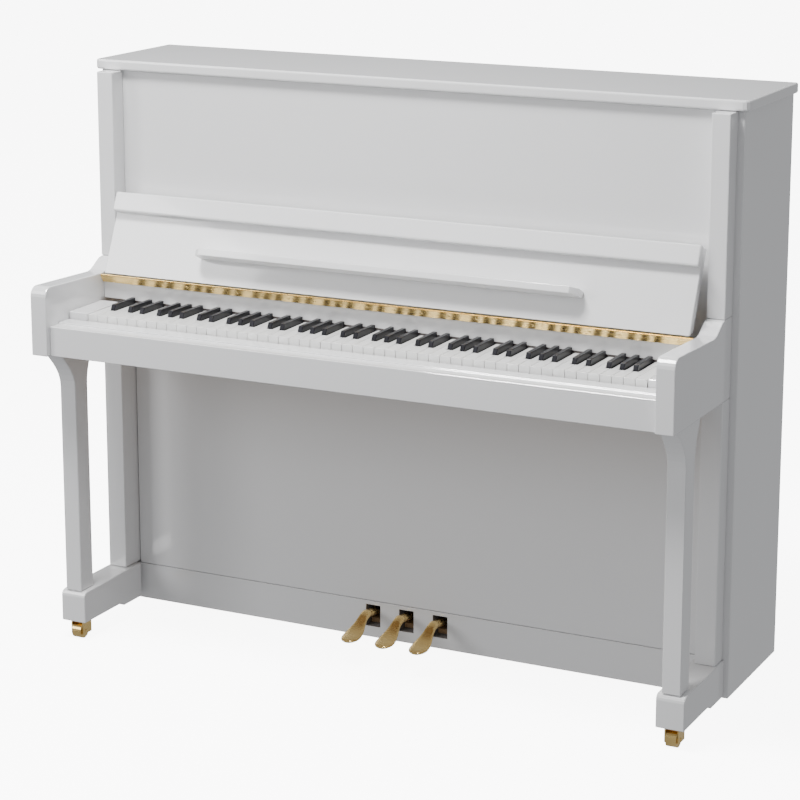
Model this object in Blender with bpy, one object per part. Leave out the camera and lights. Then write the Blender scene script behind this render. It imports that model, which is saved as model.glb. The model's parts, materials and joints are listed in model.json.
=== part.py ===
"""Upright piano with an open fallboard, a folding music desk, three pedals and 88 keys.

Metres. X runs from bass to treble, Y from front to back, Z up from the floor. The origin is under the
middle of the piano. Depths are counted forwards from the back, so y_at(0) is the wall side.
"""

from math import cos, pi, radians, sin

import bmesh
import bpy
from mathutils import Matrix, Vector

# Overall sizes
HEIGHT = 1.218
WIDTH = 1.424  # over the side panels
DEPTH = 0.604  # back of the frame to the front of the arms
FIT = 0.0005  # gap between fixed pieces
RUN = 0.002  # gap beside a moving piece

# Case
SIDE_T = 0.024
SIDE_DEPTH = 0.2945
SIDE_FOOT_Z = 0.031
LID_T = 0.021
LID_OVERHANG_X = 0.0115
LID_OVERHANG_Y = 0.0115
LID_BACK_INSET = 0.008
LID_CORNER_R = 0.014
LID_OPEN = 100  # degrees
PILASTER_W = 0.0375
PILASTER_DEPTH = 0.043  # how far it stands in front of the side panel
PILASTER_OUT_INSET = 0.014  # its outer face lies inside the side panel's
LOWER_PILASTER_W = 0.043
UPPER_PANEL_T = 0.020
UPPER_PANEL_FOOT_Z = 0.745
LOWER_PANEL_T = 0.018
LOWER_PANEL_DEPTH = 0.282
PLINTH_FOOT_Z = 0.026
PLINTH_TOP_Z = 0.106
BOTTOM_BOARD_Z = (0.040, 0.060)
BOTTOM_BOARD_DEPTH = 0.255

# Casters
WHEEL_R = 0.0165
WHEEL_W = 0.022
WHEEL_SIDES = 24
CHEEK_T = 0.003
CASTER_TRAIL = 0.010
FRONT_CASTER_DEPTH = 0.485
REAR_CASTER_DEPTH = 0.034
REAR_CASTER_X = 0.600

# Arms, legs and toe blocks
ARM_BOTTOM_Z = 0.642
ARM_TOP_Z = 0.786
ARM_LOW_Z = 0.779
ARM_END_Z = 0.803
ARM_CORNER_R = 0.020
LEG_W = 0.038
LEG_D = 0.046
LEG_FRONT_DEPTH = 0.515
LEG_FLARE_H = 0.085
LEG_FLARE_FRONT = 0.055
LEG_FLARE_BACK = 0.028
TOE_W = 0.058
TOE_FRONT_DEPTH = 0.519
TOE_Z = (2 * WHEEL_R + 0.001, 0.110)
TOE_RELIEF = 0.008
TOE_STEP_DEPTH = 0.365
TOE_CORNER_R = 0.012

# Keyboard
NATURALS = 52
NATURAL_PITCH = 0.0236
KEY_GAP = 0.0011
KEY_TOP_Z = 0.720
KEY_T = 0.021
KEY_FRONT_DEPTH = 0.521
KEY_BACK_DEPTH = 0.180
HEAD_LENGTH = 0.050  # the full-width front of a natural key
SHARP_RISE = 0.012
SHARP_W = 0.0100
SHARP_BACK_DEPTH = 0.389
SHARP_TAIL_END_DEPTH = 0.212
COMB_DEPTH = 0.202  # naturals of one group are one piece behind this depth
BALANCE_DEPTH = 0.315
BALANCE_BAR_W = 0.026
KEY_BED_TOP_Z = 0.672
KEY_BED_BACK_DEPTH = 0.175
KEY_SLIP_DEPTH = 0.592
KEY_SLIP_T = 0.017
KEY_SLIP_TOP_Z = 0.7035
KEY_SLIP_STEP = 0.0030
KEY_BLOCK_DEPTH = 0.400
NAMEBOARD_DEPTH = 0.387
NAMEBOARD_T = 0.015
NAMEBOARD_Z = (0.7245, 0.7600)
FIRST_JOINTED = 23  # middle C, counted in naturals from the left
JOINTED = 7

# Fallboard, its flap and the music desk, in the leaning leaf's own directions
LEAN = radians(24)
LEAF_AXIS_DEPTH = 0.4015
LEAF_AXIS_Z = 0.7775
LEAF_L = 0.177
LEAF_SIDE_GAP = 0.008
LEAF_T = 0.016
FLAP_L = 0.041
FLAP_T = 0.018
DESK_W = 0.850
DESK_L = 0.043
DESK_T = 0.014
DESK_UP = 0.0680  # leaf axis to desk hinge
DESK_CORNER = 0.014

# Pedals
PEDAL_PITCH = 0.078
PEDAL_PIVOT_DEPTH = 0.235
PEDAL_PIVOT_Z = 0.080
SLOT_W = 0.034
SLOT_Z = (0.050, 0.098)

# Frame, strings side and action
POST_DEPTH = 0.067
POST_W = 0.075
POSTS = 5
BEAM_H = 0.090
FRAME_FOOT_Z = 2 * WHEEL_R + 0.011
SOUNDBOARD_T = 0.008
PIN_BLOCK_H = 0.180
PLATE_DEPTH = (0.1085, 0.1185)
PLATE_BAR_W = 0.030
PLATE_Z = 0.100
ACTION_X = 0.622  # inner face of the end brackets
BRACKET_T = 0.012

# Worked out from the sizes above
SIDE_X = WIDTH / 2
SIDE_IN_X = SIDE_X - SIDE_T
PILASTER_X = SIDE_X - PILASTER_OUT_INSET
INNER_X = PILASTER_X - PILASTER_W
TOP_Z = HEIGHT - LID_T - 0.001
KEYBOARD_X = NATURALS * NATURAL_PITCH / 2
FRONT_OF_SIDE = SIDE_DEPTH + FIT


def y_at(depth):
    return DEPTH / 2 - depth


def leaf_point(along, out):
    """Depth and height of a point on the leaning fallboard: up its face, and out towards the player."""
    return (
        LEAF_AXIS_DEPTH - along * sin(LEAN) + out * cos(LEAN),
        LEAF_AXIS_Z + along * cos(LEAN) + out * sin(LEAN),
    )


# Materials


def material(name, colour, roughness, metallic=0.0):
    made = bpy.data.materials.new(name)
    made.use_nodes = True
    shader = made.node_tree.nodes["Principled BSDF"]
    shader.inputs["Base Color"].default_value = (*colour, 1)
    shader.inputs["Roughness"].default_value = roughness
    shader.inputs["Metallic"].default_value = metallic
    return made


# Building blocks


def new_object(name, bm, look, pivot=(0, 0, 0)):
    """An object whose origin is the pivot; the bmesh is given in world places."""
    bmesh.ops.recalc_face_normals(bm, faces=bm.faces)
    bmesh.ops.translate(bm, vec=-Vector(pivot), verts=bm.verts)
    mesh = bpy.data.meshes.new(name)
    bm.to_mesh(mesh)
    bm.free()
    made = bpy.data.objects.new(name, mesh)
    made.location = pivot
    if look:
        mesh.materials.append(look)
    bpy.context.collection.objects.link(made)
    return made


def add_box(bm, x, depth, z):
    """x, depth and z are pairs of limits."""
    y = sorted(y_at(value) for value in depth)
    size = (x[1] - x[0], y[1] - y[0], z[1] - z[0])
    middle = (sum(x) / 2, sum(y) / 2, sum(z) / 2)
    place = Matrix.Translation(middle) @ Matrix.Diagonal((*size, 1))
    bmesh.ops.create_cube(bm, size=1, matrix=place)


def rounded(made, width, segments=2):
    bevel = made.modifiers.new("Bevel", "BEVEL")
    bevel.width = width
    bevel.segments = segments
    bevel.limit_method = "ANGLE"
    bevel.angle_limit = radians(40)
    return made


def block(name, x, depth, z, look, bevel=0.0015, segments=1, pivot=(0, 0, 0)):
    bm = bmesh.new()
    add_box(bm, x, depth, z)
    return rounded(new_object(name, bm, look, pivot), bevel, segments)


def extrude(points, along):
    """A closed solid: the polygon of points moved along a vector."""
    bm = bmesh.new()
    face = bm.faces.new([bm.verts.new(point) for point in points])
    moved = bmesh.ops.extrude_face_region(bm, geom=[face])["geom"]
    bmesh.ops.translate(bm, vec=along, verts=[v for v in moved if isinstance(v, bmesh.types.BMVert)])
    return bm


def profile(name, outline, x, look, bevel=0.0, segments=1, pivot=(0, 0, 0)):
    """An outline of (depth, height) pairs, extruded from x[0] to x[1]."""
    bm = extrude([(x[0], y_at(depth), z) for depth, z in outline], (x[1] - x[0], 0, 0))
    made = new_object(name, bm, look, pivot)
    return rounded(made, bevel, segments) if bevel else made


def plan(name, outline, z, look, pivot=(0, 0, 0)):
    """An outline of (x, y) pairs, extruded from z[0] to z[1]."""
    bm = extrude([(x, y, z[0]) for x, y in outline], (0, 0, z[1] - z[0]))
    return new_object(name, bm, look, pivot)


def helper_boxes(owner, boxes):
    """A hidden object made of separate boxes, used by a Boolean of its owner."""
    bm = bmesh.new()
    for x, depth, z in boxes:
        add_box(bm, x, depth, z)
    helper = new_object(owner.name + "_helper", bm, None)
    helper.hide_render = True
    helper.display_type = "WIRE"
    return helper


def boolean(owner, helper, operation):
    modifier = owner.modifiers.new(operation.title(), "BOOLEAN")
    modifier.operation = operation
    modifier.object = helper


def cut(owner, boxes):
    boolean(owner, helper_boxes(owner, boxes), "DIFFERENCE")


def arc(centre, radius, start, end, steps):
    """Points of an arc as (depth, height) pairs; angle 0 points to the front, 90 degrees up."""
    return [
        (
            centre[0] + radius * cos(radians(start + (end - start) * step / steps)),
            centre[1] + radius * sin(radians(start + (end - start) * step / steps)),
        )
        for step in range(steps + 1)
    ]


# Case


def case(white):
    for side, name in ((-1, "left"), (1, "right")):

        def span(inner, outer):
            return sorted((side * inner, side * outer))

        block(f"side_panel_{name}", span(SIDE_IN_X, SIDE_X), (0, SIDE_DEPTH), (SIDE_FOOT_Z, TOP_Z), white)
        strip = (FRONT_OF_SIDE, SIDE_DEPTH + PILASTER_DEPTH)
        upper = (ARM_END_Z + FIT, TOP_Z)
        block(f"upper_pilaster_{name}", span(INNER_X, PILASTER_X), strip, upper, white, 0.002, 2)
        lower_pilaster(f"lower_pilaster_{name}", side, strip, white)
        arm(f"arm_{name}", span(INNER_X, PILASTER_X), white)
        leg_x = PILASTER_X - 0.006
        leg(f"leg_{name}", span(leg_x - LEG_W, leg_x), white)
        toe_x = PILASTER_X + 0.004
        toe_block(f"toe_block_{name}", span(toe_x - TOE_W, toe_x), white)


def lower_pilaster(name, side, strip, white):
    """In plan an L: the strip, and behind it a cleat that closes the gap beside the lower panel."""
    inner = PILASTER_X - LOWER_PILASTER_W
    cleat_x = SIDE_IN_X - FIT
    cleat = y_at(LOWER_PANEL_DEPTH - LOWER_PANEL_T)
    front, back = y_at(strip[1]), y_at(strip[0])
    outline = [(inner, front), (PILASTER_X, front), (PILASTER_X, back), (cleat_x, back), (cleat_x, cleat)]
    outline = [(side * x, y) for x, y in (*outline, (inner, cleat))]
    z = (TOE_Z[1] + FIT, ARM_BOTTOM_Z - FIT)
    rounded(plan(name, outline, z, white), 0.002, 2)


def arm(name, x, white):
    """The top slopes back a little, then rises in an S to the pilaster."""
    front = DEPTH
    nose = (front - ARM_CORNER_R, ARM_TOP_Z - ARM_CORNER_R)
    end = SIDE_DEPTH + PILASTER_DEPTH
    rise = ARM_END_Z - ARM_LOW_Z
    curve = [
        (end + 0.056 * (1 - t), ARM_LOW_Z + rise * (1 - cos(pi * t)) / 2)
        for t in (0, 0.2, 0.4, 0.6, 0.8, 1)
    ]
    outline = [(front, ARM_BOTTOM_Z), *arc(nose, ARM_CORNER_R, 0, 90, 5), *curve]
    outline += [(FRONT_OF_SIDE, ARM_END_Z), (FRONT_OF_SIDE, ARM_BOTTOM_Z)]
    profile(name, outline, x, white, 0.002, 2)


def leg(name, x, white):
    """A straight shaft on the toe block that flares out in two concave curves under the arm."""
    top = ARM_BOTTOM_Z - FIT
    start = top - LEG_FLARE_H
    front = LEG_FRONT_DEPTH
    back = front - LEG_D
    steps = [step / 6 for step in range(7)]
    fore = [(front + LEG_FLARE_FRONT * (1 - cos(t * pi / 2)), start + LEG_FLARE_H * t) for t in steps]
    aft = [(back - LEG_FLARE_BACK * (1 - cos(t * pi / 2)), start + LEG_FLARE_H * t) for t in steps]
    outline = [(front, TOE_Z[1] + FIT), *fore, *reversed(aft), (back, TOE_Z[1] + FIT)]
    profile(name, outline, x, white, 0.0015)


def toe_block(name, x, white):
    front = TOE_FRONT_DEPTH
    corner = (front - TOE_CORNER_R, TOE_Z[1] - TOE_CORNER_R)
    outline = [(FRONT_OF_SIDE, TOE_Z[0]), (TOE_STEP_DEPTH, TOE_Z[0])]
    outline += [(TOE_STEP_DEPTH + TOE_RELIEF, TOE_Z[0] + TOE_RELIEF)]
    outline += [(front, TOE_Z[0] + TOE_RELIEF), *arc(corner, TOE_CORNER_R, 0, 90, 4), (FRONT_OF_SIDE, TOE_Z[1])]
    profile(name, outline, x, white, 0.0015)


def top_lid(white):
    half = SIDE_X + LID_OVERHANG_X
    front = y_at(SIDE_DEPTH + LID_OVERHANG_Y)
    back = y_at(LID_BACK_INSET)
    turn = [radians(angle) for angle in (0, 30, 60, 90)]
    right = [(half - LID_CORNER_R * (1 - sin(a)), front + LID_CORNER_R * (1 - cos(a))) for a in turn]
    left = [(-x, y) for x, y in reversed(right)]
    z = (HEIGHT - LID_T, HEIGHT)
    rounded(plan("top_lid", [*left, *right, (half, back), (-half, back)], z, white, (0, back, HEIGHT)), 0.004, 3)


def panels(white):
    x = (-SIDE_IN_X + FIT, SIDE_IN_X - FIT)
    depth = (SIDE_DEPTH - UPPER_PANEL_T, SIDE_DEPTH)
    block("upper_panel", x, depth, (UPPER_PANEL_FOOT_Z, TOP_Z), white)
    half = PILASTER_X - LOWER_PILASTER_W - 0.0015
    depth = (LOWER_PANEL_DEPTH - LOWER_PANEL_T, LOWER_PANEL_DEPTH)
    z = (PLINTH_TOP_Z + 0.001, ARM_BOTTOM_Z - RUN)
    pivot = (0, y_at(LOWER_PANEL_DEPTH), z[0])
    block("lower_panel", (-half, half), depth, z, white, pivot=pivot)


def plinth(white):
    depth = (BOTTOM_BOARD_DEPTH + FIT, LOWER_PANEL_DEPTH)
    x = (-SIDE_IN_X + FIT, SIDE_IN_X - FIT)
    rail = block("plinth_rail", x, depth, (PLINTH_FOOT_Z, PLINTH_TOP_Z), white, 0.001)
    through = (depth[0] - 0.01, depth[1] + 0.01)
    cut(rail, [((c - SLOT_W / 2, c + SLOT_W / 2), through, SLOT_Z) for c in pedal_places()])


def pedal_places():
    return [-PEDAL_PITCH, 0, PEDAL_PITCH]


# Keyboard


def naturals_start(index):
    return -KEYBOARD_X + index * NATURAL_PITCH


def letter(index):
    """A to G as 0 to 6; the lowest key is an A."""
    return index % 7


def slot_edges(index):
    """How much of a natural's left and right side its neighbouring sharps take, as (left, right)."""
    five, seven = NATURAL_PITCH * 3 / 5, NATURAL_PITCH * 4 / 7
    groups = {2: (five, 3), 3: (five, 3), 4: (five, 3)}
    share, count = groups.get(letter(index), (seven, 4))
    place = (letter(index) - 2) if count == 3 else (letter(index) - 5) % 7
    left = 2 * place * share - place * NATURAL_PITCH
    right = NATURAL_PITCH - (left + share)
    if index == 0:
        left = 0
    if index == NATURALS - 1:
        right = 0
    return left, right


def has_sharp(index):
    """A sharp stands on the right-hand side of this natural."""
    return letter(index) not in (1, 4) and index < NATURALS - 1


def natural_outline(index, back):
    """The sides of one key from its back left corner round its front to its back right corner."""
    start = naturals_start(index)
    left, right = slot_edges(index)
    x0, x1 = start + KEY_GAP / 2, start + NATURAL_PITCH - KEY_GAP / 2
    t0 = max(x0, start + left + KEY_GAP / 2)
    t1 = min(x1, start + NATURAL_PITCH - right - KEY_GAP / 2)
    front, shoulder = y_at(KEY_FRONT_DEPTH), y_at(KEY_FRONT_DEPTH - HEAD_LENGTH)
    points = [(t0, back)]
    if t0 > x0:
        points += [(t0, shoulder), (x0, shoulder)]
    points += [(x0, front), (x1, front)]
    if t1 < x1:
        points += [(x1, shoulder), (t1, shoulder)]
    return [*points, (t1, back)]


def balance_point():
    return (0, y_at(BALANCE_DEPTH), KEY_TOP_Z - KEY_T)


def natural_keys(name, first, last, ivory):
    """Keys first to last as one comb: they meet behind COMB_DEPTH, where nothing is seen."""
    joined = y_at(COMB_DEPTH if last > first else KEY_BACK_DEPTH)
    outline = []
    for index in range(first, last + 1):
        outline += natural_outline(index, joined)
    if last > first:
        end = y_at(KEY_BACK_DEPTH)
        outline += [(outline[-1][0], end), (outline[0][0], end)]
    plan(name, outline, (KEY_TOP_Z - KEY_T, KEY_TOP_Z), ivory, balance_point())


def sharp_centre(index):
    start = naturals_start(index)
    share = NATURAL_PITCH * (3 / 5 if letter(index) in (2, 3) else 4 / 7)
    place = (letter(index) - 2) if letter(index) in (2, 3) else (letter(index) - 5) % 7
    return start - place * NATURAL_PITCH + (2 * place + 1.5) * share


def sharp_outline(hump):
    """A sharp in side view. The hump carries the bar that joins a group."""
    front = KEY_FRONT_DEPTH - HEAD_LENGTH - 0.0012
    base = KEY_TOP_Z - KEY_T + 0.002
    tail = KEY_TOP_Z - 0.002
    top = KEY_TOP_Z + SHARP_RISE
    outline = [(front, base), (front, KEY_TOP_Z + 0.003), (front - 0.005, top), (SHARP_BACK_DEPTH, top)]
    outline += [(SHARP_BACK_DEPTH, tail)]
    if hump:
        ahead, behind = BALANCE_DEPTH + BALANCE_BAR_W / 2, BALANCE_DEPTH - BALANCE_BAR_W / 2
        outline += [(ahead, tail), (ahead, KEY_TOP_Z + 0.006), (behind, KEY_TOP_Z + 0.006), (behind, tail)]
    return [*outline, (SHARP_TAIL_END_DEPTH, tail), (SHARP_TAIL_END_DEPTH, base)]


def sharp_key(name, index, ebony, hump=False):
    centre = sharp_centre(index)
    x = (centre - SHARP_W / 2, centre + SHARP_W / 2)
    return profile(name, sharp_outline(hump), x, ebony, pivot=balance_point())


def sharp_keys(name, first, last, ebony):
    """The sharps of a group, joined by a bar above the balance rail."""
    indices = [index for index in range(first, last + 1) if has_sharp(index)]
    bm = bmesh.new()
    x = (sharp_centre(indices[0]) - SHARP_W / 2 + 0.001, sharp_centre(indices[-1]) + SHARP_W / 2 - 0.001)
    half = BALANCE_BAR_W / 2 - 0.003
    add_box(bm, x, (BALANCE_DEPTH - half, BALANCE_DEPTH + half), (KEY_TOP_Z + 0.003, KEY_TOP_Z + 0.009))
    bar = new_object(name, bm, ebony, balance_point())
    for index in indices:
        stick = sharp_key(f"{name}_stick_{index}", index, ebony, hump=True)
        stick.hide_render = True
        stick.display_type = "WIRE"
        boolean(bar, stick, "UNION")


def keyboard(ivory, ebony):
    last = FIRST_JOINTED + JOINTED - 1
    natural_keys("natural_keys_bass", 0, FIRST_JOINTED - 1, ivory)
    natural_keys("natural_keys_treble", last + 1, NATURALS - 1, ivory)
    sharp_keys("sharp_keys_bass", 0, FIRST_JOINTED - 1, ebony)
    sharp_keys("sharp_keys_treble", last + 1, NATURALS - 1, ebony)
    for index in range(FIRST_JOINTED, last + 1):
        note = "ABCDEFG"[letter(index)].lower()
        natural_keys(f"key_{note}4", index, index, ivory)
        if has_sharp(index):
            sharp_key(f"key_{note}_sharp4", index, ebony)


def keyboard_woodwork(white, wood, red_felt):
    half = INNER_X - FIT
    slip_back = KEY_SLIP_DEPTH - KEY_SLIP_T
    bed_x = (-half, half)
    block("key_bed", bed_x, (KEY_BED_BACK_DEPTH, slip_back - FIT), (ARM_BOTTOM_Z + 0.003, KEY_BED_TOP_Z), wood)
    ledge = KEY_FRONT_DEPTH + 0.004
    step = slip_back - 0.014
    top = KEY_SLIP_TOP_Z
    outline = [(KEY_SLIP_DEPTH, ARM_BOTTOM_Z), (KEY_SLIP_DEPTH, top), (step, top), (step, top + KEY_SLIP_STEP)]
    outline += [(ledge, top + KEY_SLIP_STEP), (ledge, KEY_BED_TOP_Z + FIT), (slip_back, KEY_BED_TOP_Z + FIT)]
    outline += [(slip_back, ARM_BOTTOM_Z)]
    profile("key_slip", outline, bed_x, white, 0.001)
    cheek = (KEYBOARD_X + 0.0015, half)
    z = (KEY_BED_TOP_Z + FIT, KEY_TOP_Z + 0.0015)
    for side, name in ((-1, "left"), (1, "right")):
        x = sorted((side * cheek[0], side * cheek[1]))
        block(f"key_block_{name}", x, (KEY_BLOCK_DEPTH, KEY_FRONT_DEPTH), z, white)
    depth = (NAMEBOARD_DEPTH - NAMEBOARD_T, NAMEBOARD_DEPTH)
    block("nameboard", bed_x, depth, NAMEBOARD_Z, white, 0.001)
    rail = (BALANCE_DEPTH - 0.015, BALANCE_DEPTH + 0.015)
    under = KEY_TOP_Z - KEY_T - 0.0015
    block("balance_rail", (-KEYBOARD_X, KEYBOARD_X), rail, (KEY_BED_TOP_Z + FIT, under), red_felt, 0.001)


# Fallboard


def fallboard(white, brass):
    half = INNER_X - RUN
    low = NAMEBOARD_Z[1] + FIT
    high = LEAF_AXIS_Z - 0.0013
    hinge = [(NAMEBOARD_DEPTH + 0.0065, low), (LEAF_AXIS_DEPTH + 0.002, high)]
    hinge += [(LEAF_AXIS_DEPTH - 0.013, high), (NAMEBOARD_DEPTH - 0.001, low)]
    profile("fallboard_hinge", hinge, (-half, half), brass)
    x = (LEAF_SIDE_GAP - half, half - LEAF_SIDE_GAP)
    axis = (0, y_at(LEAF_AXIS_DEPTH), LEAF_AXIS_Z)
    leaf = [leaf_point(*p) for p in ((0.003, 0), (LEAF_L, 0), (LEAF_L, -LEAF_T), (0.014, -LEAF_T))]
    profile("fallboard", leaf, x, white, 0.0015, 1, axis)
    tip = leaf_point(LEAF_L, 0)
    flap = [(LEAF_L - FLAP_L, 0.0006), (LEAF_L, 0.0006), (LEAF_L, FLAP_T), (LEAF_L - FLAP_L, FLAP_T)]
    flap_axis = (0, y_at(tip[0]), tip[1])
    profile("fallboard_flap", [leaf_point(*p) for p in flap], x, white, 0.003, 2, flap_axis)
    music_desk(white)


def music_desk(white):
    """A shelf that stands square off the leaf; its two front corners are cut."""
    half = DESK_W / 2
    near, far = 0.0008, DESK_L
    outline = [(-half, near), (-half, far - DESK_CORNER), (-half + DESK_CORNER, far)]
    outline += [(half - DESK_CORNER, far), (half, far - DESK_CORNER), (half, near)]
    points = []
    for x, out in outline:
        depth, z = leaf_point(DESK_UP, out)
        points.append((x, y_at(depth), z))
    low = Vector((0, -sin(LEAN), -cos(LEAN))) * DESK_T
    depth, z = leaf_point(DESK_UP, near)
    rounded(new_object("music_desk", extrude(points, low), white, (0, y_at(depth), z)), 0.0015, 2)


# Pedals and action


def pedal(name, x, brass):
    """Flat bar on the pivot, a neck out of its slot, and a broad rounded paddle."""
    stations = (
        # depth, height, half width, half thickness
        (0.175, 0.080, 0.009, 0.005),
        (PEDAL_PIVOT_DEPTH, PEDAL_PIVOT_Z, 0.010, 0.006),
        (0.298, 0.086, 0.0095, 0.0075),
        (0.312, 0.088, 0.010, 0.008),
        (0.328, 0.083, 0.0105, 0.0075),
        (0.342, 0.075, 0.013, 0.0055),
        (0.358, 0.067, 0.0175, 0.0045),
        (0.374, 0.0615, 0.0205, 0.0042),
        (0.388, 0.0585, 0.020, 0.004),
        (0.398, 0.057, 0.015, 0.0035),
        (0.403, 0.056, 0.008, 0.003),
    )
    corners = [radians(22.5 + 45 * step) for step in range(8)]
    grow = 1 / cos(radians(22.5))
    bm = bmesh.new()
    rings = []
    for depth, z, wide, thick in stations:
        ring = [(x + wide * grow * cos(a), y_at(depth), z + thick * grow * sin(a)) for a in corners]
        rings.append([bm.verts.new(point) for point in ring])
    for one, two in zip(rings, rings[1:]):
        for corner in range(8):
            following = (corner + 1) % 8
            bm.faces.new((one[corner], one[following], two[following], two[corner]))
    bm.faces.new(rings[0])
    bm.faces.new(rings[-1])
    new_object(name, bm, brass, (x, y_at(PEDAL_PIVOT_DEPTH), PEDAL_PIVOT_Z))


def action(wood, felt, steel):
    """End brackets and a main rail, with the three rails that the pedals move."""
    end = ACTION_X + BRACKET_T
    top = 0.990
    frame = block("action_frame", (-end, end), (0.205, 0.245), (KEY_BED_TOP_Z + FIT, top), wood, 0.001)
    inside = (-ACTION_X, ACTION_X)
    through = (0.195, 0.255)
    cut(frame, [(inside, through, (0.660, 0.835)), (inside, through, (0.865, 1.010))])
    rail = (-ACTION_X, ACTION_X)
    block("hammer_rest_rail", rail, (0.178, 0.200), (0.900, 0.925), felt, 0.003)
    block("muffler_rail", rail, (0.126, 0.132), (0.985, 1.025), felt, 0.001)
    rod = [(0.162 + 0.006 * cos(a), 0.850 + 0.006 * sin(a)) for a in (2 * pi * k / 10 for k in range(10))]
    profile("damper_lift_rod", rod, rail, steel, pivot=(0, y_at(0.162), 0.850))


# Frame and strings side


def strung_back(wood, spruce, iron):
    half = SIDE_IN_X - FIT
    frame = block("back_frame", (-half, half), (0.001, POST_DEPTH), (0.010, TOP_Z), wood, 0.001)
    pitch = (2 * half - POST_W) / (POSTS - 1)
    windows = (FRAME_FOOT_Z + BEAM_H, TOP_Z - PIN_BLOCK_H)
    through = (-0.01, POST_DEPTH + 0.01)
    starts = [-half + POST_W + pitch * bay for bay in range(POSTS - 1)]
    cut(frame, [((start, start + pitch - POST_W), through, windows) for start in starts])
    foot = (-0.01, FRAME_FOOT_Z)
    gap = WHEEL_W / 2 + 0.001
    inner, outer = REAR_CASTER_X - gap, REAR_CASTER_X + gap
    cheek = CHEEK_T
    between = [(-0.8, -outer - cheek), (-outer, -inner), (-inner + cheek, inner - cheek), (inner, outer)]
    cut(frame, [(x, through, foot) for x in (*between, (outer + cheek, 0.8))])
    ahead = REAR_CASTER_DEPTH + 0.012
    behind = REAR_CASTER_DEPTH - 0.012
    cut(frame, [((-0.8, 0.8), (ahead, through[1]), foot), ((-0.8, 0.8), (through[0], behind), foot)])
    board = (POST_DEPTH + FIT, POST_DEPTH + FIT + SOUNDBOARD_T)
    block("soundboard", (-half, half), board, (0.120, TOP_Z - PIN_BLOCK_H - 0.004), spruce, 0.001)
    block_depth = (POST_DEPTH + FIT, PLATE_DEPTH[0] - FIT)
    block("pin_block", (-half, half), block_depth, (TOP_Z - PIN_BLOCK_H, TOP_Z - 0.004), wood, 0.001)
    plate_x = half - 0.004
    plate = block("iron_plate", (-plate_x, plate_x), PLATE_DEPTH, (PLATE_Z, TOP_Z - 0.006), iron, 0.001)
    bays = [-plate_x + PLATE_BAR_W * 2, -0.330, 0.020, 0.330, plate_x - PLATE_BAR_W]
    reach = (PLATE_DEPTH[0] - 0.01, PLATE_DEPTH[1] + 0.01)
    window = (PLATE_Z + 0.110, TOP_Z - PIN_BLOCK_H - 0.030)
    openings = [(left, right - PLATE_BAR_W) for left, right in zip(bays, bays[1:])]
    cut(plate, [(x, reach, window) for x in openings])
    bottom = (POST_DEPTH + 0.004, BOTTOM_BOARD_DEPTH)
    block("bottom_board", (-half, half), bottom, BOTTOM_BOARD_Z, wood, 0.001)


# Casters


def wheel(name, centre, look):
    """A faceted roller that stands on one of its flats."""
    bm = bmesh.new()
    half_step = pi / WHEEL_SIDES
    turn = Matrix.Rotation(pi / 2, 4, "Y") @ Matrix.Rotation(half_step, 4, "Z")
    bmesh.ops.create_cone(
        bm,
        cap_ends=True,
        segments=WHEEL_SIDES,
        radius1=WHEEL_R,
        radius2=WHEEL_R,
        depth=WHEEL_W,
        matrix=Matrix.Translation(centre) @ turn,
    )
    made = new_object(name, bm, look, centre)
    made.data.shade_smooth()
    made.data.set_sharp_from_angle(angle=radians(40))


def casters(brass):
    height = WHEEL_R * cos(pi / WHEEL_SIDES)
    inner = WHEEL_W / 2 + 0.001
    outer = inner + CHEEK_T
    top = TOE_Z[0] + TOE_RELIEF - 0.0004
    fork = [(-outer, 0.010), (-outer, top), (outer, top), (outer, 0.010)]
    fork += [(inner, 0.010), (inner, top - 0.004), (-inner, top - 0.004), (-inner, 0.010)]
    toe_middle = PILASTER_X + 0.004 - TOE_W / 2
    for side, name in ((-1, "left"), (1, "right")):
        x, y = side * toe_middle, y_at(FRONT_CASTER_DEPTH)
        middle = y - CASTER_TRAIL
        bm = extrude([(x + dx, middle - 0.011, z) for dx, z in fork], (0, 0.032, 0))
        new_object(f"caster_fork_front_{name}", bm, brass, (x, y, top))
        wheel(f"caster_wheel_front_{name}", (x, middle, height), brass)
        wheel(f"caster_wheel_rear_{name}", (side * REAR_CASTER_X, y_at(REAR_CASTER_DEPTH), height), brass)


def build():
    for old in list(bpy.data.objects):
        bpy.data.objects.remove(old, do_unlink=True)
    white = material("white_lacquer", (0.86, 0.86, 0.86), 0.08)
    ivory = material("ivory_white", (0.88, 0.88, 0.86), 0.18)
    ebony = material("ebony_black", (0.012, 0.012, 0.014), 0.22)
    brass = material("polished_brass", (0.80, 0.58, 0.22), 0.18, 1.0)
    wood = material("beech_wood", (0.52, 0.36, 0.20), 0.55)
    spruce = material("spruce_board", (0.72, 0.52, 0.29), 0.45)
    iron = material("bronzed_iron", (0.55, 0.40, 0.16), 0.35, 0.6)
    steel = material("steel", (0.60, 0.60, 0.62), 0.3, 1.0)
    red_felt = material("red_felt", (0.35, 0.03, 0.04), 0.95)
    grey_felt = material("grey_felt", (0.45, 0.44, 0.42), 0.95)
    case(white)
    top_lid(white)
    panels(white)
    plinth(white)
    keyboard(ivory, ebony)
    keyboard_woodwork(white, wood, red_felt)
    fallboard(white, brass)
    for name, x in zip(("soft", "practice", "damper"), pedal_places()):
        pedal(f"{name}_pedal", x, brass)
    action(wood, grey_felt, steel)
    strung_back(wood, spruce, iron)
    casters(brass)


build()
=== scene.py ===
"""The looks of the upright piano round its CAD frame: lacquer, brass, keys, felt, wood and strings."""

import json
from math import cos, pi, radians, sin

import bmesh
import bpy
from mathutils import Matrix, Vector


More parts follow.
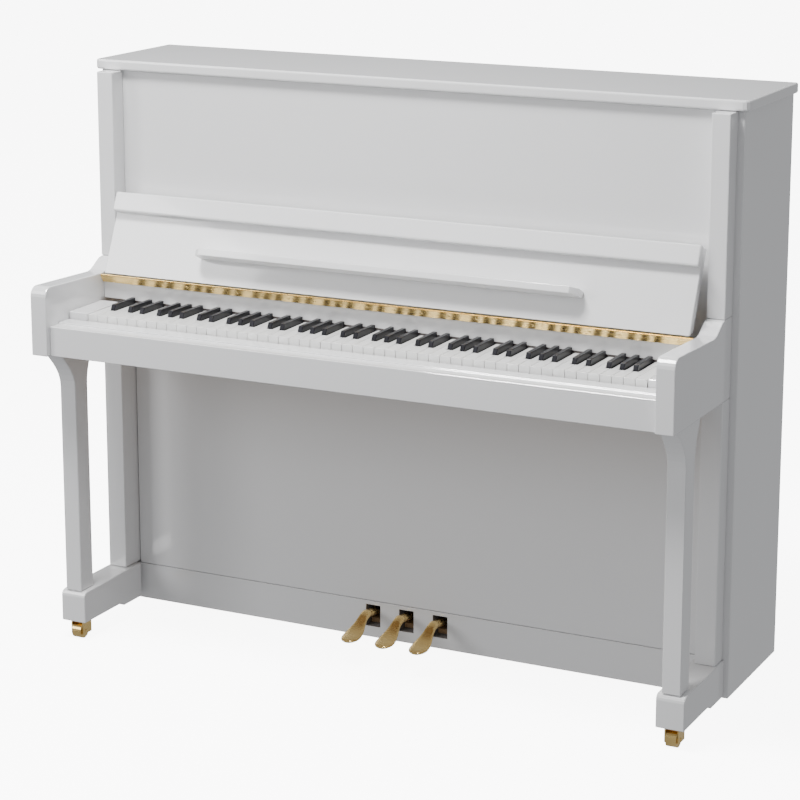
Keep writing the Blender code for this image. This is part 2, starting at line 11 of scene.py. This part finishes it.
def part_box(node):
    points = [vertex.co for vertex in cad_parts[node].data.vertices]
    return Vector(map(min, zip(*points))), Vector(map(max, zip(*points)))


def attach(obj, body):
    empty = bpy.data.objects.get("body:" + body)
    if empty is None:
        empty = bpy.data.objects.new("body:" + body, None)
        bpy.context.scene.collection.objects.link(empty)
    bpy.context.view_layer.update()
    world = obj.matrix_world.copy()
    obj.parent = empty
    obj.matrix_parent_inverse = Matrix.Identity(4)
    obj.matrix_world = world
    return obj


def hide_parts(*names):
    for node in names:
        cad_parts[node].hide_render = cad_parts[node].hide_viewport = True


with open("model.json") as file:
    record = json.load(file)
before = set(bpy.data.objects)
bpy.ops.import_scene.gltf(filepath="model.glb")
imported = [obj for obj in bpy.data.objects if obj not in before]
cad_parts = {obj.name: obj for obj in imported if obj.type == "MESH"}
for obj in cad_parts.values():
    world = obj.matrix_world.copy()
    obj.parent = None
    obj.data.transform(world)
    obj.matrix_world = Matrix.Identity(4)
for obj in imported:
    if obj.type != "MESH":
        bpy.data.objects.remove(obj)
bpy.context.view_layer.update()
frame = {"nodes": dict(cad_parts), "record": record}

NODES = frame["nodes"]
BODY_OF = {
    node: body for body, nodes in frame["record"]["behaviour"]["bodies"].items() for node in nodes
}


PEDALS = ("soft_pedal", "practice_pedal", "damper_pedal")
SLOT_W = 0.034  # the pedal slots in the plinth rail, as in the part
SLOT_Z = (0.050, 0.098)
HINGE_SCREWS = 22
HINGE_KNUCKLES = 44
STEEL_STRINGS = 62
WOUND_STRINGS = 28
TUNING_PINS = 90
HAMMERS = 88

FLOOR_GLOW = 8.0  # the floor is seen, but lights nothing
BACKDROP_GLOW = 6.0  # what the camera sees of the world
WORLD_FILL = 0.46  # what the world sheds on the piano
CAMERA_LENS = 111.87
CAMERA_SHIFT_Y = -0.12
CAMERA_PLACE = (2.1831, -4.4039, 1.8589)
CAMERA_PITCH = 0.2202
CAMERA_YAW = 0.4611


# Materials


class Look:
    """A Principled material and short ways to feed its sockets."""

    def __init__(self, name, colour, roughness, metallic=0.0, **sockets):
        self.material = bpy.data.materials.new(name)
        self.material.use_nodes = True
        self.tree = self.material.node_tree
        self.shader = self.tree.nodes["Principled BSDF"]
        self.set("Base Color", (*colour, 1))
        self.set("Roughness", roughness)
        self.set("Metallic", metallic)
        for socket, value in sockets.items():
            self.set(socket.replace("_", " "), value)
        self.colour = colour

    def set(self, socket, value):
        self.shader.inputs[socket].default_value = value

    def node(self, kind, **values):
        made = self.tree.nodes.new(kind)
        for name, value in values.items():
            made.inputs[name.replace("_", " ")].default_value = value
        return made

    def link(self, source, target):
        self.tree.links.new(source, target)

    def noise(self, scale, stretch=(1, 1, 1), detail=4.0, roughness=0.55):
        """Noise in the object's own space, stretched along its grain."""
        where = self.node("ShaderNodeTexCoord")
        mapping = self.node("ShaderNodeMapping")
        mapping.inputs["Scale"].default_value = stretch
        pattern = self.node("ShaderNodeTexNoise", Scale=scale, Detail=detail, Roughness=roughness)
        self.link(where.outputs["Object"], mapping.inputs["Vector"])
        self.link(mapping.outputs["Vector"], pattern.inputs["Vector"])
        return pattern.outputs["Fac"]

    def ramp(self, source, stops):
        made = self.node("ShaderNodeValToRGB")
        self.link(source, made.inputs["Fac"])
        ends = made.color_ramp.elements
        while len(ends) < len(stops):
            ends.new(0.5)
        for end, (place, colour) in zip(ends, stops):
            end.position = place
            end.color = (*colour, 1)
        return made.outputs["Color"]

    def bump(self, source, distance, strength=0.5, socket="Normal"):
        made = self.node("ShaderNodeBump", Strength=strength, Distance=distance)
        self.link(source, made.inputs["Height"])
        self.link(made.outputs["Normal"], self.shader.inputs[socket])

    def vary_colour(self, source, low, high, places=(0.3, 0.7)):
        shades = [tuple(channel * factor for channel in self.colour) for factor in (low, high)]
        self.link(self.ramp(source, list(zip(places, shades))), self.shader.inputs["Base Color"])

    def vary_roughness(self, source, low, high):
        made = self.node("ShaderNodeMapRange", To_Min=low, To_Max=high)
        self.link(source, made.inputs["Value"])
        self.link(made.outputs["Result"], self.shader.inputs["Roughness"])


def lacquer():
    """Polished polyester: a hard clear coat over white, with a trace of unevenness."""
    look = Look("white_lacquer", (0.80, 0.80, 0.805), 0.10, Coat_Weight=0.6, Coat_Roughness=0.03)
    look.vary_colour(look.noise(3.0), 0.985, 1.0)
    look.vary_roughness(look.noise(14.0), 0.07, 0.13)
    look.bump(look.noise(55.0, detail=2.0), 0.0002, 0.05)
    return look.material


def ivory():
    look = Look("ivory_white", (0.84, 0.84, 0.825), 0.16, Coat_Weight=0.3, Coat_Roughness=0.06)
    look.vary_colour(look.noise(9.0), 0.975, 1.0)
    look.vary_roughness(look.noise(60.0), 0.12, 0.22)
    return look.material


def ebony():
    look = Look("ebony_black", (0.010, 0.010, 0.013), 0.30, Specular_IOR_Level=0.25)
    look.vary_colour(look.noise(40.0, (1, 0.08, 1)), 0.7, 1.6)
    look.vary_roughness(look.noise(90.0, (1, 0.1, 1)), 0.24, 0.38)
    return look.material


def brass():
    look = Look("polished_brass", (0.83, 0.60, 0.24), 0.26, 1.0)
    look.vary_colour(look.noise(30.0), 0.88, 1.04)
    look.vary_roughness(look.noise(120.0, (0.2, 1, 1)), 0.20, 0.34)
    look.bump(look.noise(300.0, (0.1, 1, 1)), 0.0002, 0.08)
    return look.material


def timber(name, colour, stretch, scale=18.0):
    look = Look(name, colour, 0.5)
    grain = look.noise(scale, stretch, detail=8.0, roughness=0.65)
    look.vary_colour(grain, 0.62, 1.18)
    look.vary_roughness(grain, 0.38, 0.62)
    look.bump(grain, 0.0006, 0.35)
    return look.material


def cast_bronze():
    look = Look("bronzed_iron", (0.62, 0.44, 0.16), 0.34, 0.75)
    look.vary_colour(look.noise(12.0), 0.85, 1.08)
    look.bump(look.noise(240.0), 0.0004, 0.30)
    return look.material


def felt(name, colour):
    look = Look(name, colour, 0.95, Sheen_Weight=0.5, Sheen_Roughness=0.4)
    look.vary_colour(look.noise(160.0), 0.72, 1.15)
    look.bump(look.noise(420.0, detail=6.0), 0.0010, 0.6)
    return look.material


def metal(name, colour, roughness):
    look = Look(name, colour, roughness, 1.0)
    look.vary_roughness(look.noise(140.0, (1, 1, 0.1)), roughness * 0.7, roughness * 1.4)
    return look.material


LOOKS = {
    "white_lacquer": lacquer(),
    "ivory_white": ivory(),
    "ebony_black": ebony(),
    "polished_brass": brass(),
    "beech_wood": timber("beech_wood", (0.60, 0.40, 0.22), (0.12, 1, 1)),
    "spruce_board": timber("spruce_board", (0.78, 0.56, 0.30), (1, 1, 0.04), 60.0),
    "bronzed_iron": cast_bronze(),
    "steel": metal("steel", (0.62, 0.62, 0.64), 0.25),
    "red_felt": felt("red_felt", (0.38, 0.02, 0.035)),
    "grey_felt": felt("grey_felt", (0.50, 0.49, 0.46)),
}
POST_WOOD = timber("post_wood", (0.66, 0.47, 0.27), (1, 1, 0.06))
COPPER = metal("copper_winding", (0.72, 0.34, 0.17), 0.35)
HAMMER_FELT = felt("hammer_felt", (0.78, 0.75, 0.68))
# dark felt for the name felt, also the painted shade on the sheets behind the pedal slots
DARK_FELT_AND_SHADE = felt("dark_felt_and_shade", (0.10, 0.085, 0.085))
KEY_WOOD = timber("key_wood", (0.74, 0.58, 0.38), (1, 0.1, 1))


def dress_cad_nodes():
    slots = {part["node"]: part["material_slot"] for part in frame["record"]["subparts"]}
    for node, thing in NODES.items():
        look = POST_WOOD if node == "back_frame" else LOOKS[slots[node]]
        thing.data.materials.clear()
        thing.data.materials.append(look)


# Building blocks


def finish_piece(name, bm, look, body, smooth=True):
    mesh = bpy.data.meshes.new(name)
    bmesh.ops.recalc_face_normals(bm, faces=bm.faces)
    bm.to_mesh(mesh)
    bm.free()
    mesh.materials.append(look)
    if smooth:
        mesh.shade_smooth()
        mesh.set_sharp_from_angle(angle=radians(35))
    piece = bpy.data.objects.new(name, mesh)
    bpy.context.collection.objects.link(piece)
    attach(piece, body)
    return piece


def add_rod(bm, start, end, radius, sides):
    start, end = Vector(start), Vector(end)
    along = end - start
    turn = along.to_track_quat("Z", "Y").to_matrix().to_4x4()
    bmesh.ops.create_cone(
        bm,
        cap_ends=True,
        segments=sides,
        radius1=radius,
        radius2=radius,
        depth=along.length,
        matrix=Matrix.Translation((start + end) / 2) @ turn,
    )


def add_box(bm, low, high):
    low, high = Vector(low), Vector(high)
    place = Matrix.Translation((low + high) / 2)
    bmesh.ops.create_cube(bm, size=1, matrix=place @ Matrix.Diagonal((*(high - low), 1)))


def add_dome(bm, centre, radius, direction, flat=0.45):
    """A low round screw or pin head that faces along a direction."""
    turn = Vector(direction).to_track_quat("Z", "Y").to_matrix().to_4x4()
    place = Matrix.Translation(centre) @ turn @ Matrix.Diagonal((1, 1, flat, 1))
    bmesh.ops.create_uvsphere(bm, u_segments=12, v_segments=8, radius=radius, matrix=place)


def softened(node, width):
    """The CAD solid again with its edges rounded, standing for the plain one."""
    source = NODES[node]
    piece = bpy.data.objects.new(f"{node}_finish", source.data.copy())
    bpy.context.collection.objects.link(piece)
    piece.matrix_world = source.matrix_world
    bm = bmesh.new()
    bm.from_mesh(piece.data)
    bmesh.ops.remove_doubles(bm, verts=bm.verts, dist=1e-5)
    bmesh.ops.dissolve_limit(bm, angle_limit=radians(1), verts=bm.verts, edges=bm.edges)
    bm.to_mesh(piece.data)
    bm.free()
    bevel = piece.modifiers.new("edges", "BEVEL")
    bevel.width = width
    bevel.segments = 2
    bevel.limit_method = "ANGLE"
    bevel.angle_limit = radians(30)
    bevel.harden_normals = True
    piece.data.shade_smooth()
    piece.data.set_sharp_from_angle(angle=radians(50))
    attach(piece, BODY_OF[node])
    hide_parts(node)
    return piece


# Case details


def keys():
    for node in NODES:
        key = node.endswith("4") and node.startswith("key_")
        if key or node.startswith(("natural_keys", "sharp_keys")):
            piece = softened(node, 0.0012 if "sharp" in node else 0.0008)


def name_felt():
    """The strip of felt between the keys and the nameboard."""
    low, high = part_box("nameboard")
    keys_low, keys_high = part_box("natural_keys_bass")
    bm = bmesh.new()
    edge = keys_low.x
    add_box(bm, (edge, low.y + 0.001, keys_high.z + 0.0008), (-edge, high.y - 0.001, low.z))
    finish_piece("nameboard_felt", bm, DARK_FELT_AND_SHADE, "case", smooth=False)


def hinge_screws():
    """Countersunk screws along the brass strip, and its knuckles along the fallboard's axis."""
    screw_r, screw_flat = 0.0030, 0.35
    knuckle_r, seam = 0.0012, 0.0004
    low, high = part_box("fallboard_hinge")
    span = high.x - low.x
    front = Vector((0, low.y, high.z))
    back = Vector((0, low.y + 0.010, low.z))
    middle = (front + back) / 2
    outward = Vector((0, -(front.z - back.z), -(back.y - front.y))).normalized()
    bm = bmesh.new()
    for index in range(HINGE_SCREWS):
        x = low.x + span * (index + 0.5) / HINGE_SCREWS
        add_dome(bm, (x, middle.y, middle.z), screw_r, outward, screw_flat)
    finish_piece("hinge_screws", bm, LOOKS["polished_brass"], "case")
    bm = bmesh.new()
    pitch = span / HINGE_KNUCKLES
    for index in range(HINGE_KNUCKLES):
        x = low.x + pitch * index
        start = (x + seam, low.y + 0.0020, high.z + 0.0013)
        add_rod(bm, start, (x + pitch - seam, start[1], start[2]), knuckle_r, 8)
    finish_piece("hinge_knuckles", bm, LOOKS["polished_brass"], "case")


def lid_hinge():
    """A long brass hinge between the lid's back edge and the frame."""
    low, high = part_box("top_lid")
    bm = bmesh.new()
    inset, leaf_t = 0.05, 0.0012
    leaf_low = (low.x + inset, high.y - leaf_t, low.z + 0.002)
    add_box(bm, leaf_low, (high.x - inset, high.y, high.z - 0.003))
    finish_piece("lid_hinge_leaf", bm, LOOKS["polished_brass"], "lid", smooth=False)


# Pedals and casters


def smooth_between(values, place):
    """Catmull-Rom through a list of values at a fractional place."""
    index = min(int(place), len(values) - 2)
    t = place - index
    p0, p3 = values[max(index - 1, 0)], values[min(index + 2, len(values) - 1)]
    p1, p2 = values[index], values[index + 1]
    square = 2 * p0 - 5 * p1 + 4 * p2 - p3
    cube = 3 * p1 - p0 - 3 * p2 + p3
    return 0.5 * (2 * p1 + (p2 - p0) * t + square * t**2 + cube * t**3)


def pedal_skin(node):
    """The pedal again as one smooth casting: rounded rings through stations counted from its back end."""
    low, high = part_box(node)
    middle = (low.x + high.x) / 2
    back = high.y
    # reach from the back end, height of the middle, half width, half thickness
    stations = (
        (0.000, 0.080, 0.009, 0.005),
        (0.060, 0.080, 0.010, 0.006),
        (0.123, 0.086, 0.0095, 0.0075),
        (0.137, 0.088, 0.010, 0.008),
        (0.153, 0.083, 0.0105, 0.0075),
        (0.167, 0.075, 0.013, 0.0055),
        (0.183, 0.067, 0.0175, 0.0045),
        (0.199, 0.0615, 0.0203, 0.004),
        (0.213, 0.0585, 0.0198, 0.0038),
        (0.223, 0.057, 0.0148, 0.0033),
        (0.2275, 0.056, 0.0078, 0.0026),
    )
    columns = list(zip(*stations))
    sides, steps = 28, 6
    bm = bmesh.new()
    rings = []
    for step in range((len(stations) - 1) * steps + 1):
        reach, z, wide, thick = (smooth_between(column, step / steps) for column in columns)
        ring = []
        for side in range(sides):
            angle = 2 * pi * side / sides
            c, s = cos(angle), sin(angle)
            x = middle + wide * abs(c) ** 0.7 * (1 if c >= 0 else -1)
            ring.append(bm.verts.new((x, back - reach, z + thick * abs(s) ** 0.8 * (1 if s >= 0 else -1))))
        rings.append(ring)
    for one, two in zip(rings, rings[1:]):
        for side in range(sides):
            following = (side + 1) % sides
            bm.faces.new((one[side], one[following], two[following], two[side]))
    bm.faces.new(rings[0])
    bm.faces.new(rings[-1])
    piece = finish_piece(f"{node}_casting", bm, LOOKS["polished_brass"], node)
    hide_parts(node)


def slot_felt_and_painted_shade():
    """Dark felt round the inside of the plinth's pedal slots, and behind them beside each neck dark sheets
    of painted shade, standing for the shade seen through the slots.
    """
    half, bottom, top, felt_t = SLOT_W / 2, *SLOT_Z, 0.0005
    neck_clear, shade_sheet_edge = 0.0125, 0.021
    plinth_low, plinth_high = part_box("plinth_rail")
    front, back = plinth_low.y + 0.002, plinth_high.y
    for node in PEDALS:
        low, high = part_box(node)
        middle = (low.x + high.x) / 2
        bm = bmesh.new()
        for side in (-1, 1):
            wall = sorted((middle + side * half, middle + side * (half - felt_t)))
            add_box(bm, (wall[0], front, bottom), (wall[1], back, top))
            # painted shade: a dark sheet behind the rail beside the neck, where the slot shows only shade
            shade_sheet = sorted((middle + side * neck_clear, middle + side * shade_sheet_edge))
            add_box(bm, (shade_sheet[0], back + 0.009, bottom + 0.011), (shade_sheet[1], back + 0.0105, top + 0.004))
        for z in (bottom, top - felt_t):
            add_box(bm, (middle - half, front, z), (middle + half, back, z + felt_t))
        finish_piece(f"{node}_slot_felt_and_shade", bm, DARK_FELT_AND_SHADE, "case", smooth=False)


def caster_details():
    """A hub on each face of every roller, and an axle with domed ends through it."""
    hub_share, hub_in, hub_out = 0.55, -0.001, 0.0006
    axle_r, cap_r, past_roller = 0.0022, 0.0040, 0.0042
    for end in ("front", "rear"):
        for side in ("left", "right"):
            low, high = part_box(f"caster_wheel_{end}_{side}")
            centre = (low + high) / 2
            radius = (high.z - low.z) / 2
            body = f"{end}_wheel_{side}"
            bm = bmesh.new()
            for face in (-1, 1):
                rim = centre + Vector((face * (high.x - low.x) / 2, 0, 0))
                inner, outer = (rim + Vector((face * dx, 0, 0)) for dx in (hub_in, hub_out))
                add_rod(bm, inner, outer, radius * hub_share, 24)
            finish_piece(f"caster_hub_{end}_{side}", bm, LOOKS["polished_brass"], body)
            bm = bmesh.new()
            half = (high.x - low.x) / 2 + past_roller
            holder = f"front_fork_{side}" if end == "front" else "case"
            ends = [centre + Vector((dx, 0, 0)) for dx in (-half, half)]
            add_rod(bm, ends[0], ends[1], axle_r, 12)
            for tip, way in zip(ends, (-1, 1)):
                add_dome(bm, tip, cap_r, (way, 0, 0))
            finish_piece(f"caster_axle_{end}_{side}", bm, LOOKS["polished_brass"], holder)


# The back, the strings and the action


def backs():
    """Ribs across the soundboard's back, in each bay between the posts."""
    board_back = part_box("soundboard")[1].y
    openings = frame["record"]["physics"]["openings"]
    bays = [opening["box_m"] for opening in openings if opening["name"].startswith("back_bay")]
    ribs, rib_t, rib_h, rib_tilt = 4, 0.012, 0.022, radians(12)
    bm = bmesh.new()
    for low, high in bays:
        width = high[0] - low[0]
        for rib in range(ribs):
            z = low[2] + (high[2] - low[2]) * (rib + 0.5) / ribs
            tilt = Matrix.Rotation(rib_tilt, 4, "Y")
            middle = Vector(((low[0] + high[0]) / 2, board_back + rib_t / 2, z))
            size = Matrix.Diagonal((width * 0.96, rib_t, rib_h, 1))
            bmesh.ops.create_cube(bm, size=1, matrix=Matrix.Translation(middle) @ tilt @ size)
    finish_piece("soundboard_ribs", bm, LOOKS["spruce_board"], "case", smooth=False)


def strings():
    """Steel strings from pin block to plate, the wound bass ones crossing over, with their tuning pins."""
    low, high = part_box("iron_plate")
    front = low.y - 0.0022
    top, bottom = high.z - 0.060, low.z + 0.060
    steel_r, wound_r, pin_r, pin_out, wound_clear = 0.0006, 0.0011, 0.0028, 0.011, 0.0028
    steel, wound, pins = bmesh.new(), bmesh.new(), bmesh.new()
    edge = high.x - 0.070
    for index in range(STEEL_STRINGS):
        t = index / (STEEL_STRINGS - 1)
        x = -0.200 + (edge + 0.200) * t
        lean = 0.16 * (1 - t)
        foot = bottom + (top - bottom) * 0.42 * t**1.6
        add_rod(steel, (x, front, top), (x - lean, front, foot), steel_r, 5)
    for index in range(WOUND_STRINGS):
        t = index / (WOUND_STRINGS - 1)
        x = -edge + 0.37 * t
        foot = (x + 0.42 - 0.10 * t, front - wound_clear, bottom + 0.05 * t)
        add_rod(wound, (x, front - wound_clear, top), foot, wound_r, 6)
    for index in range(TUNING_PINS):
        x = -edge + 2 * edge * index / (TUNING_PINS - 1)
        z = top + 0.012 + 0.011 * (index % 3)
        add_rod(pins, (x, low.y + 0.001, z), (x, low.y - pin_out, z + 0.002), pin_r, 8)
    finish_piece("steel_strings", steel, LOOKS["steel"], "case")
    finish_piece("bass_strings", wound, COPPER, "case")
    finish_piece("tuning_pins", pins, LOOKS["steel"], "case")


def hammers():
    """One shank and felt head for each key, on the rail that the soft pedal moves."""
    low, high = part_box("hammer_rest_rail")
    shanks, heads = bmesh.new(), bmesh.new()
    for index in range(HAMMERS):
        x = low.x + 0.012 + (high.x - low.x - 0.024) * index / (HAMMERS - 1)
        y = high.y + 0.0026
        add_box(shanks, (x - 0.0022, y - 0.0020, low.z - 0.030), (x + 0.0022, y + 0.0020, high.z + 0.018))
        size = 1.15 - 0.35 * index / (HAMMERS - 1)
        z = high.z + 0.014
        ring = [
            heads.verts.new((x - 0.0048, y + dy * size, z + dz * size))
            for dy, dz in ((-0.006, -0.007), (0.012, -0.006), (0.0215, 0), (0.012, 0.006), (-0.006, 0.007))
        ]
        face = heads.faces.new(ring)
        moved = bmesh.ops.extrude_face_region(heads, geom=[face])["geom"]
        points = [v for v in moved if isinstance(v, bmesh.types.BMVert)]
        bmesh.ops.translate(heads, vec=(0.0096, 0, 0), verts=points)
    finish_piece("hammer_shanks", shanks, KEY_WOOD, "hammer_rest_rail", smooth=False)
    finish_piece("hammer_heads", heads, HAMMER_FELT, "hammer_rest_rail")


# Stage


def stage_look(name, colour, roughness):
    look = Look(name, colour, roughness)
    look.vary_roughness(look.noise(2.0), roughness * 0.95, roughness)
    look.set("Emission Color", (1, 1, 1, 1))
    look.set("Emission Strength", FLOOR_GLOW)
    return look.material


def floor():
    bm = bmesh.new()
    bmesh.ops.create_grid(bm, x_segments=1, y_segments=1, size=30)
    mesh = bpy.data.meshes.new("floor")
    bm.to_mesh(mesh)
    bm.free()
    mesh.materials.append(stage_look("pale_floor", (0.95, 0.95, 0.95), 0.7))
    made = bpy.data.objects.new("floor", mesh)
    bpy.context.collection.objects.link(made)
    made.visible_glossy = False
    made.visible_diffuse = False


def area_light(name, place, target, size, power):
    data = bpy.data.lights.new(name, "AREA")
    data.shape = "RECTANGLE"
    data.size, data.size_y = size
    data.energy = power
    lamp = bpy.data.objects.new(name, data)
    bpy.context.collection.objects.link(lamp)
    lamp.location = place
    lamp.rotation_euler = (Vector(target) - Vector(place)).to_track_quat("-Z", "Y").to_euler()


def lights():
    world = bpy.data.worlds.new("studio")
    bpy.context.scene.world = world
    world.use_nodes = True
    nodes, links = world.node_tree.nodes, world.node_tree.links
    fill = nodes["Background"]
    fill.inputs["Color"].default_value = (0.97, 0.98, 1, 1)
    fill.inputs["Strength"].default_value = WORLD_FILL
    backdrop = nodes.new("ShaderNodeBackground")
    backdrop.inputs["Strength"].default_value = BACKDROP_GLOW
    seen = nodes.new("ShaderNodeLightPath")
    mix = nodes.new("ShaderNodeMixShader")
    links.new(seen.outputs["Is Camera Ray"], mix.inputs["Fac"])
    links.new(fill.outputs[0], mix.inputs[1])
    links.new(backdrop.outputs[0], mix.inputs[2])
    links.new(mix.outputs[0], nodes["World Output"].inputs["Surface"])
    area_light("top_light", (-0.5, -1.15, 3.6), (0, -0.30, 0.7), (1.2, 0.6), 190)
    area_light("left_light", (-3.4, -3.2, 2.2), (0, 0, 0.8), (1.6, 2.2), 85)


def camera():
    data = bpy.data.cameras.new("camera")
    data.sensor_width = 36
    data.lens = CAMERA_LENS
    data.shift_y = CAMERA_SHIFT_Y
    made = bpy.data.objects.new("camera", data)
    bpy.context.collection.objects.link(made)
    made.location = CAMERA_PLACE
    made.rotation_euler = (pi / 2 - CAMERA_PITCH, 0, CAMERA_YAW)
    bpy.context.scene.camera = made


dress_cad_nodes()
keys()
name_felt()
hinge_screws()
lid_hinge()
for pedal in PEDALS:
    pedal_skin(pedal)
slot_felt_and_painted_shade()
caster_details()
backs()
strings()
hammers()
floor()
lights()
camera()
